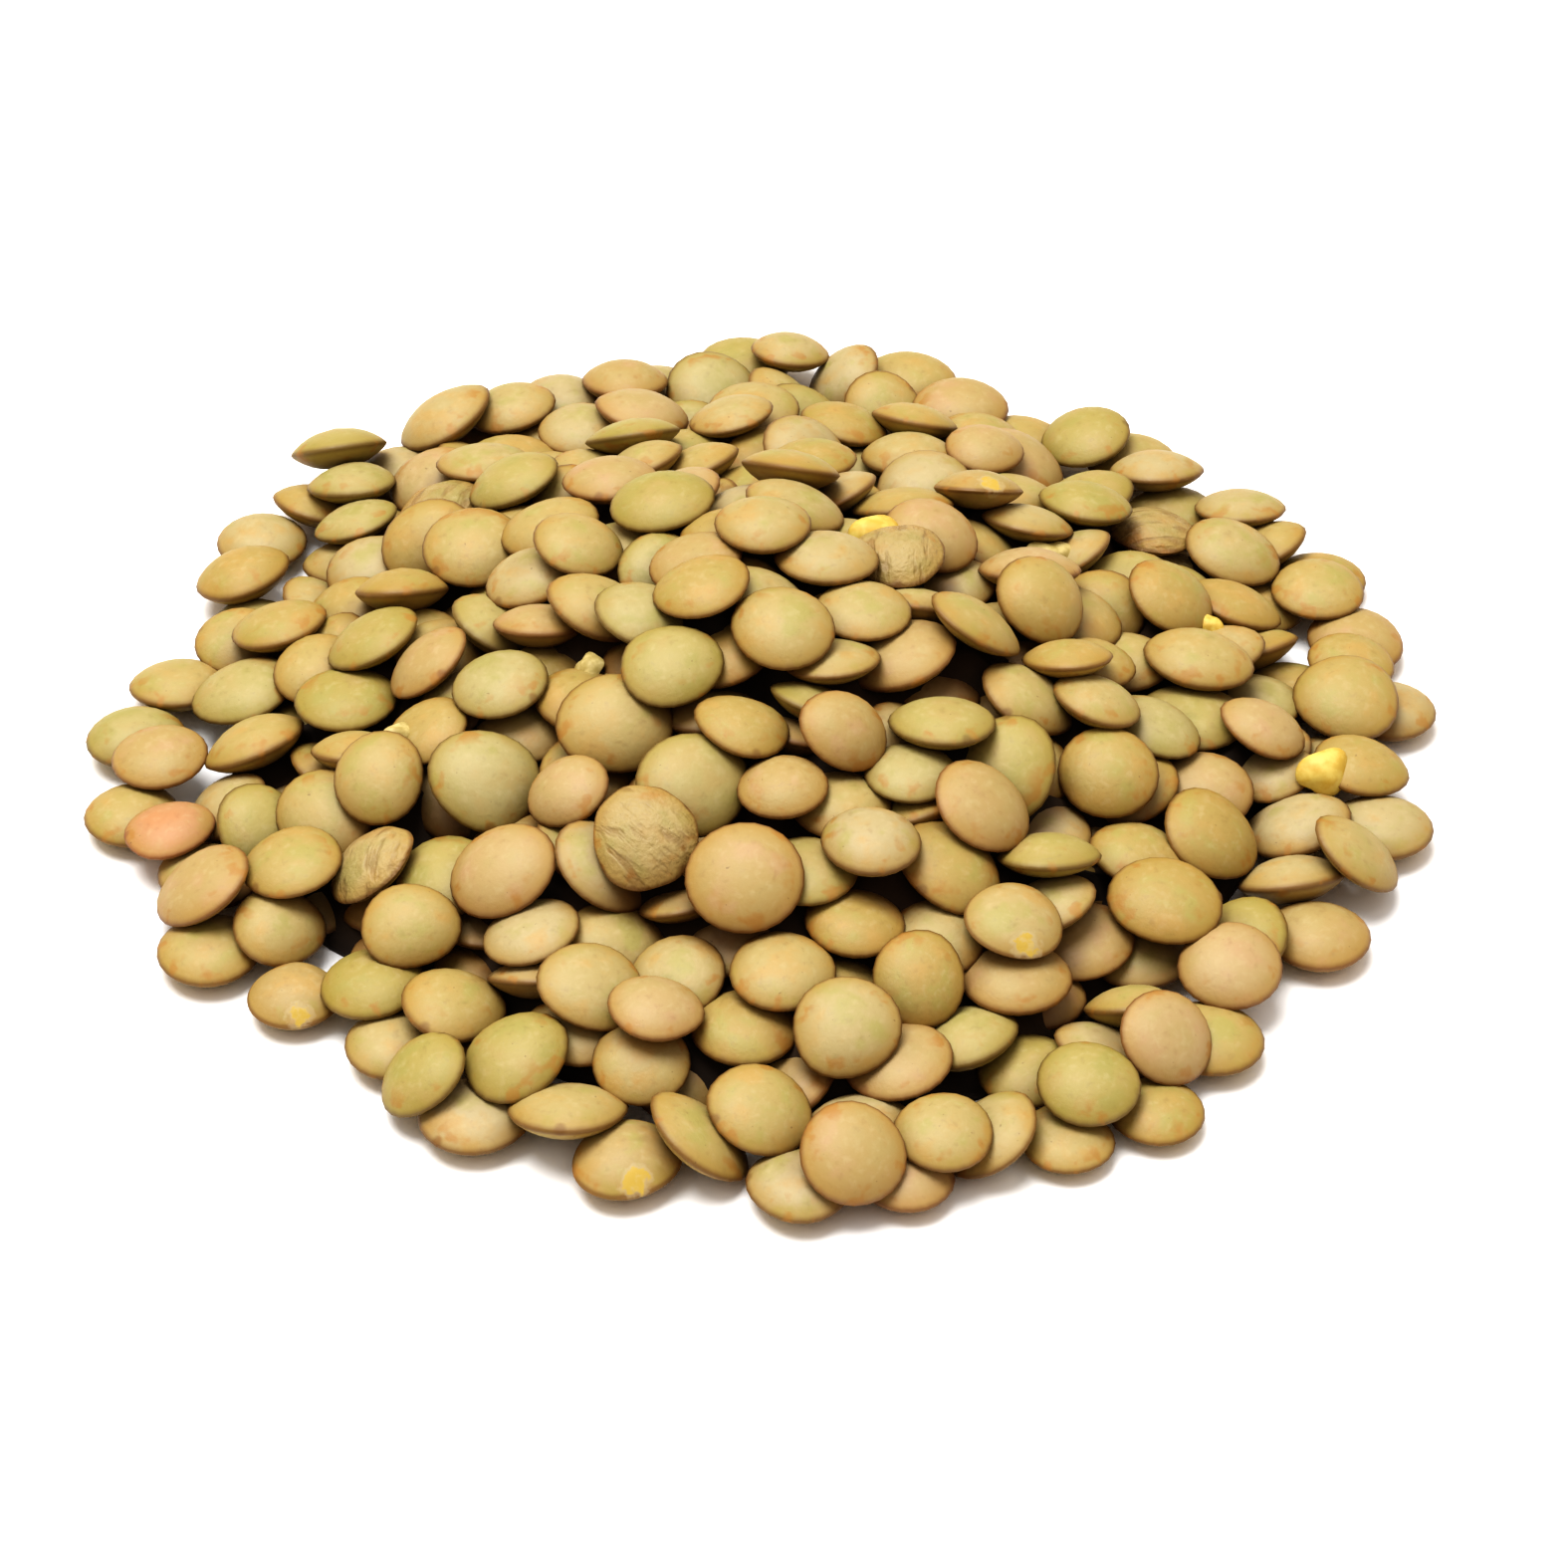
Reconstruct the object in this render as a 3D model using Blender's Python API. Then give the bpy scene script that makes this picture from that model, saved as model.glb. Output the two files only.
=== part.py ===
"""A heap of dry lentils as it lies on a table: a low core with the lentils that show fused on.

Metres, +Z up, seen from -Y. The origin is on the table, under the middle of the heap's box.
The lentils are laid one after another, low places first. Each comes to rest in the place and
the lean that bring its middle lowest, as a real one settles.
"""

import math

import bmesh
import bpy
import numpy as np
from mathutils import Matrix, Vector

MM = 0.001

# The heap, which the middles of the lentils fill
HEAP_REACH = 38.6 * MM
BULGES = (  # and dents of the foot: degrees from +X, rise in mm, half width in degrees
    (-78.0, 3.2, 38.0),
    (92.0, 2.0, 34.0),
    (8.0, 1.4, 40.0),
    (163.0, -1.8, 20.0),
    (229.0, -1.8, 22.0),
)
HEAP_HEIGHT = 14.5 * MM
HEAP_STEEPNESS = 1.25  # 1 is a cone, and 2 a round dome
FOOT_HEIGHT = 2.7 * MM  # of the heap at its foot

# One lentil
LENTIL_RADIUS = 3.2 * MM
RADIUS_SPREAD = 0.18 * MM
RADIUS_LIMITS = (2.75 * MM, 3.7 * MM)
FLATNESS = 0.42  # thickness as a share of the diameter
FLATNESS_SPREAD = 0.03

# The lentils round the foot
RIM_SPACING = 1.05  # of their diameters
RIM_DEPTH = 2.6 * MM  # of the band that they lie in
OUTLIERS = (  # direction in degrees from +X, and how far past the heap's reach, in mm
    (181.0, 0.8), (192.0, 0.9), (213.0, 0.7), (223.0, 0.3), (246.0, 0.9), (260.0, 0.6),
    (274.0, 0.4), (282.5, 0.2), (296.0, 1.2), (304.0, 2.6), (313.0, 1.0), (330.0, 1.2),
    (346.0, 1.2), (3.0, 1.2), (14.0, 0.8), (24.0, 1.9), (49.0, 1.1), (75.0, 1.5),
    (91.0, 1.3), (119.0, 1.1), (148.0, 0.5),
)

# How the lentils are laid
SEED = 11
MOST_LENTILS = 700
CELL = 0.25 * MM  # of the relief that they are laid on
RELIEF_REACH = 52.0 * MM
PLACES_DRAWN = 4  # of which the lowest is taken
MOST_MISSES = 40  # draws in a row without a place for a lentil
LEAST_ROOM = 1.1 * MM  # from what is below to where the middle may be
HOLLOW_ROOM = 2.8 * MM  # the same, for the lentils that cover hollows at the end
COVER_HEIGHT = 1.1 * MM  # how far above the surface the middles of those may be
CLOSED_NEAR = 2  # cells round a place where a lentil came to rest too high
PRESS = 0.18 * MM  # how far a lentil sinks into those below it
ROLL = 5  # cells that a lentil may roll from where it was set down
ROLL_STEP = 2
LEAN_STEP = 0.24  # as a slope
FINEST_LEAN = 0.02
STEEPEST_LEAN = 0.75

# The solid
LEAST_SHOWN = 0.24  # share of a lentil's outline that is seen from above
RIM_SIDES = 8
CAP_SIDES = 3
CAP_REACH = 0.52  # of the radius
CAP_HEIGHT = 0.88  # of the half thickness
GROWTH = 1.03  # so that a lentil with few sides keeps its size
CORE_SIDES = 28
CORE_RINGS = 7
CORE_NEAR = 8  # cells round a place, over which its height is taken
CORE_LEVEL = 28  # percent of those cells are lower than the core
CORE_EDGE = 0.6 * MM
CORE_INSET = 2.8 * MM  # from the outermost lentils

LENTIL_COLOUR = (0.62, 0.46, 0.20, 1.0)
LENTIL_ROUGHNESS = 0.6


def outer_reach(angle):
    """How far from the middle a lentil may be laid in a direction, in radians from +X."""
    reach = HEAP_REACH
    for direction, rise, width in BULGES:
        aside = np.abs(np.mod(np.degrees(angle) - direction + 180, 360) - 180)
        reach = reach + rise * MM * np.cos(np.radians(np.minimum(aside / width, 1) * 90)) ** 2
    return reach


def heap_surface(x, y):
    """The greatest height that the middle of a lentil may have at a place."""
    share = np.hypot(x, y) / (outer_reach(np.arctan2(y, x)) + LENTIL_RADIUS)
    return np.maximum(HEAP_HEIGHT * (1 - share**HEAP_STEEPNESS), FOOT_HEIGHT)


class Lentil:
    """A lentil's size, and where it lies: the slope of its flat side, and its middle."""

    def __init__(self, draw):
        low, high = RADIUS_LIMITS
        self.radius = min(high, max(low, draw.normal(LENTIL_RADIUS, RADIUS_SPREAD)))
        self.half = self.radius * draw.normal(FLATNESS, FLATNESS_SPREAD)
        self.turn = draw.uniform(0, 2 * math.pi)
        self.lean = (0.0, 0.0)
        self.place = Vector()
        self.shown = 0.0

    def surfaces(self, lean, across, along):
        """Its lower and upper surface round its middle, and where it has any.

        A lentil is what two balls share.
        """
        apart = (self.radius**2 - self.half**2) / (2 * self.half)
        ball = (self.radius**2 + self.half**2) / (2 * self.half)
        upright = apart / math.sqrt(1 + lean[0] ** 2 + lean[1] ** 2)
        x, y = lean[0] * upright, lean[1] * upright
        under = ball**2 - (across + x) ** 2 - (along + y) ** 2
        over = ball**2 - (across - x) ** 2 - (along - y) ** 2
        under_reach = np.sqrt(np.maximum(under, 0))
        over_reach = np.sqrt(np.maximum(over, 0))
        lower = np.maximum(upright - over_reach, -upright - under_reach)
        upper = np.minimum(under_reach - upright, over_reach + upright)
        return lower, upper, (under > 0) & (over > 0) & (upper > lower)


class Relief:
    """The height of what is laid over a square of cells, and which lentil is on top."""

    def __init__(self):
        self.middle = int(RELIEF_REACH / CELL)
        self.side = 2 * self.middle + 1
        self.height = np.zeros((self.side, self.side))
        self.owner = np.full((self.side, self.side), -1)
        ticks = (np.arange(self.side) - self.middle) * CELL
        self.allowed = heap_surface(*np.meshgrid(ticks, ticks))
        self.closed = np.zeros((self.side, self.side), bool)
        self.reach = int(RADIUS_LIMITS[1] / CELL) + 1
        near = np.arange(-self.reach, self.reach + 1) * CELL
        self.across, self.along = np.meshgrid(near, near)

    def window(self, column, row):
        """The cells that a lentil with its middle here may cover."""
        return (
            slice(row - self.reach, row + self.reach + 1),
            slice(column - self.reach, column + self.reach + 1),
        )

    def rest_height(self, lentil, lean, column, row):
        """The height of the lentil's middle when it touches what is below it."""
        lower, _, covered = lentil.surfaces(lean, self.across, self.along)
        gap = np.where(covered, self.height[self.window(column, row)] - lower, -1.0)
        return float(gap.max())

    def settle(self, lentil, column, row, room):
        """Rolls and leans the lentil until its middle is as low as it gets."""
        start = (column, row)
        best = (self.rest_height(lentil, (0.0, 0.0), column, row), (0.0, 0.0), column, row)
        step = LEAN_STEP
        roll = ROLL_STEP
        while step > FINEST_LEAN:
            tries = []
            _, lean, column, row = best
            for side, up in ((1, 0), (-1, 0), (0, 1), (0, -1)):
                leant = (lean[0] + side * step, lean[1] + up * step)
                if math.hypot(*leant) < STEEPEST_LEAN:
                    tries.append((leant, column, row))
                moved = (column + side * roll, row + up * roll)
                if math.dist(moved, start) <= room:
                    tries.append((lean, *moved))
            found = min((self.rest_height(lentil, *one), *one) for one in tries)
            if found[0] < best[0] - PRESS / 100:
                best = found
            else:
                step /= 2
                roll = 1
        return best

    def lay(self, lentil, column, row, number, room):
        """Sets a lentil down near a cell, and says whether its middle is low enough there.

        If so, it raises the relief, and if not, the place is closed.
        """
        start = (column, row)
        rest, lean, column, row = self.settle(lentil, column, row, room)
        lower, upper, covered = lentil.surfaces(lean, self.across, self.along)
        height = max(rest - PRESS, -float(lower[covered].min()))
        if height > self.allowed[row, column]:
            closed_rows = slice(start[1] - CLOSED_NEAR, start[1] + CLOSED_NEAR + 1)
            closed_columns = slice(start[0] - CLOSED_NEAR, start[0] + CLOSED_NEAR + 1)
            self.closed[closed_rows, closed_columns] = True
            return False
        window = self.window(column, row)
        raised = covered & (height + upper > self.height[window])
        self.height[window][raised] = (height + upper)[raised]
        self.owner[window][raised] = number
        lentil.lean = lean
        lentil.place = Vector(((column - self.middle) * CELL, (row - self.middle) * CELL, height))
        return True

    def cell(self, x, y):
        """The column and row of a place, given in metres."""
        return self.middle + round(x / CELL), self.middle + round(y / CELL)

    def lowest_place(self, draw, least_room):
        """Of the places drawn at random, the lowest with room for a lentil, or None."""
        angles = draw.uniform(-math.pi, math.pi, PLACES_DRAWN)
        distances = np.sqrt(draw.uniform(0, 1, PLACES_DRAWN)) * outer_reach(angles)
        columns = self.middle + np.rint(distances * np.cos(angles) / CELL).astype(int)
        rows = self.middle + np.rint(distances * np.sin(angles) / CELL).astype(int)
        height = self.height[rows, columns]
        full = self.allowed[rows, columns] - height < least_room
        height[full | self.closed[rows, columns]] = math.inf
        lowest = int(height.argmin())
        return (columns[lowest], rows[lowest]) if height[lowest] < math.inf else None


class Heap:
    """The lentils in the order in which they were laid, and their relief."""

    def __init__(self):
        self.draw = np.random.default_rng(SEED)
        self.relief = Relief()
        self.lentils = []

    def lay(self, column, row, room):
        """Lays a new lentil at a cell, if it comes to rest low enough there."""
        lentil = Lentil(self.draw)
        if self.relief.lay(lentil, column, row, len(self.lentils), room):
            self.lentils.append(lentil)

    def lay_apart(self, angle, distance):
        """Lays a lentil in a direction and at a distance from the middle."""
        self.lay(*self.relief.cell(distance * math.cos(angle), distance * math.sin(angle)), 0)

    def lay_rim(self):
        """Lays the outliers, and then a loose ring of lentils round the foot."""
        taken = [math.radians(degrees) for degrees, _ in OUTLIERS]
        for angle, (_, past) in zip(taken, OUTLIERS):
            self.lay_apart(angle, outer_reach(angle) + past * MM)
        angle = 0.0
        while angle < 2 * math.pi:
            distance = outer_reach(angle) - self.draw.uniform(0, RIM_DEPTH)
            step = 2 * LENTIL_RADIUS * RIM_SPACING / distance
            if min(abs(angle - other) for other in taken) > step / 2:
                self.lay_apart(angle, distance)
            angle += step

    def fill(self, least_room):
        """Lays lentils with their middles up to the surface, until no place is found."""
        misses = 0
        while misses < MOST_MISSES and len(self.lentils) < MOST_LENTILS:
            place = self.relief.lowest_place(self.draw, least_room)
            misses = misses + 1 if place is None else 0
            if place is not None:
                self.lay(*place, ROLL)

    def cover_hollows(self):
        """Lays lentils over the hollows that are left, resting on those round them."""
        self.relief.allowed += COVER_HEIGHT
        self.relief.closed[:] = False
        self.fill(HOLLOW_ROOM)

    def measure_shown(self):
        """Finds the share of each lentil that is seen from above."""
        owner = self.relief.owner
        seen = np.bincount(owner[owner >= 0], minlength=len(self.lentils))
        for lentil, cells in zip(self.lentils, seen):
            lentil.shown = cells * CELL**2 / (math.pi * lentil.radius**2)


def laid_heap():
    """The whole heap: the lentils round the foot, and then the ones up to its surface."""
    heap = Heap()
    heap.lay_rim()
    heap.fill(LEAST_ROOM)
    heap.cover_hollows()
    heap.measure_shown()
    return heap


def lentil_solid(lentil, number):
    """A lens with few sides: a rim, and a smaller flat cap above and below it."""
    normal = Vector((*lentil.lean, 1.0)).normalized()
    pose = Matrix.Translation(lentil.place) @ normal.to_track_quat("Z", "Y").to_matrix().to_4x4()
    pose = pose @ Matrix.Rotation(lentil.turn, 4, "Z")
    rings = (
        (RIM_SIDES, GROWTH, 0.0),
        (CAP_SIDES, GROWTH * CAP_REACH, CAP_HEIGHT),
        (CAP_SIDES, GROWTH * CAP_REACH, -CAP_HEIGHT),
    )
    shape = bmesh.new()
    for sides, reach, rise in rings:
        for k in range(sides):
            angle = 2 * math.pi * (k + 0.5) / sides
            point = pose @ Vector(
                (
                    reach * lentil.radius * math.cos(angle),
                    reach * lentil.radius * math.sin(angle),
                    rise * lentil.half,
                )
            )
            point.z = max(point.z, 0.0)
            shape.verts.new(point)
    bmesh.ops.convex_hull(shape, input=shape.verts)
    bmesh.ops.recalc_face_normals(shape, faces=shape.faces)
    return object_of(shape, f"lentil_{number:03d}")


def core_solid(relief):
    """The heap under its lentils: a low uneven dome with a flat base."""
    shape = bmesh.new()
    top = shape.verts.new((0, 0, core_height(relief, 0, 0)))
    turns = [2 * math.pi * side / CORE_SIDES for side in range(CORE_SIDES)]
    feet = [core_foot(relief, turn) for turn in turns]
    rings = []
    for k in range(1, CORE_RINGS + 1):
        ring = []
        for turn, foot in zip(turns, feet):
            x = foot * k / CORE_RINGS * math.cos(turn)
            y = foot * k / CORE_RINGS * math.sin(turn)
            height = CORE_EDGE if k == CORE_RINGS else core_height(relief, x, y)
            ring.append(shape.verts.new((x, y, height)))
        rings.append(ring)
    rings.append([shape.verts.new((v.co.x, v.co.y, 0)) for v in rings[-1]])
    for side in range(CORE_SIDES):
        after = (side + 1) % CORE_SIDES
        shape.faces.new((top, rings[0][side], rings[0][after]))
        for inner, outer in zip(rings, rings[1:]):
            shape.faces.new((inner[side], outer[side], outer[after], inner[after]))
    shape.faces.new(list(reversed(rings[-1])))
    bmesh.ops.triangulate(shape, faces=shape.faces)
    bmesh.ops.recalc_face_normals(shape, faces=shape.faces)
    return object_of(shape, "lentil_heap")


def core_height(relief, x, y):
    """The core's height at a place: about as low as the hollows between the lentils."""
    column, row = relief.cell(x, y)
    rows = slice(row - CORE_NEAR, row + CORE_NEAR + 1)
    columns = slice(column - CORE_NEAR, column + CORE_NEAR + 1)
    return max(float(np.percentile(relief.height[rows, columns], CORE_LEVEL)), CORE_EDGE)


def core_foot(relief, turn):
    """How far the core reaches in a direction, under the outermost lentils."""
    farthest = 0.0
    distances = np.arange(relief.middle) * CELL
    for aside in (-0.5, 0.0, 0.5):
        angle = turn + aside * 2 * math.pi / CORE_SIDES
        columns = relief.middle + np.rint(distances * math.cos(angle) / CELL).astype(int)
        rows = relief.middle + np.rint(distances * math.sin(angle) / CELL).astype(int)
        farthest = max(farthest, distances[relief.owner[rows, columns] >= 0].max())
    return farthest - CORE_INSET


def object_of(shape, name):
    """Makes the bmesh an object in the scene, and frees it."""
    mesh = bpy.data.meshes.new(name)
    shape.to_mesh(mesh)
    shape.free()
    made = bpy.data.objects.new(name, mesh)
    bpy.context.scene.collection.objects.link(made)
    return made


def fuse(core, pieces):
    """Joins the pieces to the core with one Boolean union, and removes them."""
    group = bpy.data.collections.new("lentils")
    bpy.context.scene.collection.children.link(group)
    for piece in pieces:
        bpy.context.scene.collection.objects.unlink(piece)
        group.objects.link(piece)
    union = core.modifiers.new("union", "BOOLEAN")
    union.operation = "UNION"
    union.operand_type = "COLLECTION"
    union.collection = group
    union.solver = "MANIFOLD"
    bpy.context.view_layer.update()
    graph = bpy.context.evaluated_depsgraph_get()
    core.data = bpy.data.meshes.new_from_object(core.evaluated_get(graph))
    core.modifiers.clear()
    for piece in pieces:
        bpy.data.objects.remove(piece)
    bpy.data.collections.remove(group)


def keep_outer_shell(heap):
    """Fills the hollows that the union sealed and drops loose scraps."""
    shape = bmesh.new()
    shape.from_mesh(heap.data)
    bmesh.ops.triangulate(shape, faces=shape.faces)
    left = set(shape.faces)
    shells = []
    while left:
        shell, edge = set(), [left.pop()]
        while edge:
            face = edge.pop()
            shell.add(face)
            near = {other for side in face.edges for other in side.link_faces} & left
            left -= near
            edge.extend(near)
        shells.append(shell)
    largest = max(shells, key=len)
    loose = [face for shell in shells if shell is not largest for face in shell]
    bmesh.ops.delete(shape, geom=loose, context="FACES")
    shape.to_mesh(heap.data)
    shape.free()


def stand_on_origin(heap):
    """Moves the mesh so that the middle of its box is over the origin."""
    points = [v.co for v in heap.data.vertices]
    middle = [(min(p[k] for p in points) + max(p[k] for p in points)) / 2 for k in (0, 1)]
    heap.data.transform(Matrix.Translation((-middle[0], -middle[1], 0)))


def lentil_finish():
    """The seed coat's colour, matt."""
    finish = bpy.data.materials.new("lentil")
    finish.use_nodes = True
    shader = finish.node_tree.nodes["Principled BSDF"]
    shader.inputs["Base Color"].default_value = LENTIL_COLOUR
    shader.inputs["Roughness"].default_value = LENTIL_ROUGHNESS
    shader.inputs["Metallic"].default_value = 0.0
    return finish


def main():
    for thing in list(bpy.data.objects):
        bpy.data.objects.remove(thing)
    laid = laid_heap()
    shown = [lentil for lentil in laid.lentils if lentil.shown >= LEAST_SHOWN]
    print("laid", len(laid.lentils), "shown", len(shown))
    heap = core_solid(laid.relief)
    fuse(heap, [lentil_solid(lentil, k) for k, lentil in enumerate(shown)])
    keep_outer_shell(heap)
    stand_on_origin(heap)
    heap.data.materials.clear()
    heap.data.materials.append(lentil_finish())


main()
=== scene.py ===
"""The looks of a heap of dry lentils: every lentil that shows, over a core painted dark as the shade
under them.

The lentils are laid by the same rule and from the same draws as the heap's solid, so each one
lies where the solid has it. Metres, +Z up, seen from -Y.
"""

import logging
import math
from collections.abc import Callable
from dataclasses import dataclass, field
from enum import Enum

import bmesh
import bpy
import numpy as np
from mathutils import Matrix, Vector, noise


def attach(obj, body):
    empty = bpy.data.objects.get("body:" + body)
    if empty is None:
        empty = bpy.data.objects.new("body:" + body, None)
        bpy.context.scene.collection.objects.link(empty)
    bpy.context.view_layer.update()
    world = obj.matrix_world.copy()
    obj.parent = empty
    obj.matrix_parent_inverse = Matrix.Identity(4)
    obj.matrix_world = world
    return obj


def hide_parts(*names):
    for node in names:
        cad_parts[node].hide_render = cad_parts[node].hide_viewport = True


MM = 0.001
NODE = "lentil_heap"
BODY = "root"

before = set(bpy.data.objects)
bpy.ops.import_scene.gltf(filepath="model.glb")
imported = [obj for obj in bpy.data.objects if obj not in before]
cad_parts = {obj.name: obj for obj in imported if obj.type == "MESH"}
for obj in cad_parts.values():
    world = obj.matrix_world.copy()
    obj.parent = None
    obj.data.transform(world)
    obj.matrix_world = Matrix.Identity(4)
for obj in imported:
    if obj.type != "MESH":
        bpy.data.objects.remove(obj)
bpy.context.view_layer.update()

Colour = tuple[float, float, float, float]
Stops = tuple[tuple[float, Colour], ...]
Lean = tuple[float, float]
Span = tuple[float, float]


class Kind(Enum):
    """The sorts of lentil that are told apart by colour or form."""

    TAN = "tan"
    GREEN = "green"
    PINK = "pink"
    ORANGE = "orange"
    WRINKLED = "wrinkled"
    CHIPPED = "chipped"


# The laying rule


@dataclass(frozen=True)
class HeapForm:
    """The heap, which the middles of the lentils fill.

    A bulge or dent of the foot is its direction in degrees from +X, its rise in mm and its half
    width in degrees. An outlier is a direction, and how far past the heap's reach it lies in mm.
    """

    reach: float = 38.6 * MM
    bulges: tuple[tuple[float, float, float], ...] = (
        (-78.0, 3.2, 38.0),
        (92.0, 2.0, 34.0),
        (8.0, 1.4, 40.0),
        (163.0, -1.8, 20.0),
        (229.0, -1.8, 22.0),
    )
    height: float = 14.5 * MM
    steepness: float = 1.25
    foot_height: float = 2.7 * MM
    rim_spacing: float = 1.05
    rim_depth: float = 2.6 * MM
    outliers: tuple[tuple[float, float], ...] = (
        (181.0, 0.8), (192.0, 0.9), (213.0, 0.7), (223.0, 0.3), (246.0, 0.9), (260.0, 0.6),
        (274.0, 0.4), (282.5, 0.2), (296.0, 1.2), (304.0, 2.6), (313.0, 1.0), (330.0, 1.2),
        (346.0, 1.2), (3.0, 1.2), (14.0, 0.8), (24.0, 1.9), (49.0, 1.1), (75.0, 1.5),
        (91.0, 1.3), (119.0, 1.1), (148.0, 0.5),
    )

    def outer_reach(self, angle: np.ndarray) -> np.ndarray:
        """Finds how far from the middle a lentil may be laid.

        Args:
            angle: directions in radians from +X.

        Returns:
            The reach in each direction.
        """
        reach = self.reach
        for direction, rise, width in self.bulges:
            aside = np.abs(np.mod(np.degrees(angle) - direction + 180, 360) - 180)
            reach = reach + rise * MM * np.cos(np.radians(np.minimum(aside / width, 1) * 90)) ** 2
        return reach

    def surface(self, x: np.ndarray, y: np.ndarray) -> np.ndarray:
        """Finds the greatest height that the middle of a lentil may have.

        Args:
            x: places across.
            y: places along.

        Returns:
            The height at each place.
        """
        share = np.hypot(x, y) / (self.outer_reach(np.arctan2(y, x)) + LentilSize.radius)
        return np.maximum(self.height * (1 - share**self.steepness), self.foot_height)


@dataclass(frozen=True)
class LentilSize:
    """How large lentils are, and how much that varies."""

    radius: float = 3.2 * MM
    radius_spread: float = 0.18 * MM
    smallest: float = 2.75 * MM
    largest: float = 3.7 * MM
    flatness: float = 0.42
    flatness_spread: float = 0.03


class Lentil:
    """A lentil's size, and where it lies: the slope of its flat side, and its middle."""

    def __init__(self, draw: np.random.Generator) -> None:
        """Draws a lentil's size and turn.

        Args:
            draw: the source of the draws.
        """
        size = LentilSize()
        self.radius = min(size.largest, max(size.smallest, draw.normal(size.radius, size.radius_spread)))
        self.half = self.radius * draw.normal(size.flatness, size.flatness_spread)
        self.turn = draw.uniform(0, 2 * math.pi)
        self.lean: Lean = (0.0, 0.0)
        self.place = Vector()
        self.shown = 0.0
        self.kind = Kind.TAN
        self.tone = 0.5

    def surfaces(
        self, lean: Lean, across: np.ndarray, along: np.ndarray
    ) -> tuple[np.ndarray, np.ndarray, np.ndarray]:
        """Finds the lentil's outside, which is that of what two balls share.

        Args:
            lean: the slope of its flat side.
            across: places across from its middle.
            along: places along from its middle.

        Returns:
            Its lower and its upper surface round its middle, and where it has any.
        """
        apart = (self.radius**2 - self.half**2) / (2 * self.half)
        ball = (self.radius**2 + self.half**2) / (2 * self.half)
        upright = apart / math.sqrt(1 + lean[0] ** 2 + lean[1] ** 2)
        x, y = lean[0] * upright, lean[1] * upright
        under = ball**2 - (across + x) ** 2 - (along + y) ** 2
        over = ball**2 - (across - x) ** 2 - (along - y) ** 2
        under_reach = np.sqrt(np.maximum(under, 0))
        over_reach = np.sqrt(np.maximum(over, 0))
        lower = np.maximum(upright - over_reach, -upright - under_reach)
        upper = np.minimum(under_reach - upright, over_reach + upright)
        return lower, upper, (under > 0) & (over > 0) & (upper > lower)

    def pose(self) -> Matrix:
        """Finds how the lentil is laid.

        Returns:
            The matrix that takes it from the origin to its place.
        """
        normal = Vector((*self.lean, 1.0)).normalized()
        leant = normal.to_track_quat("Z", "Y").to_matrix().to_4x4()
        return Matrix.Translation(self.place) @ leant @ Matrix.Rotation(self.turn, 4, "Z")


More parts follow.
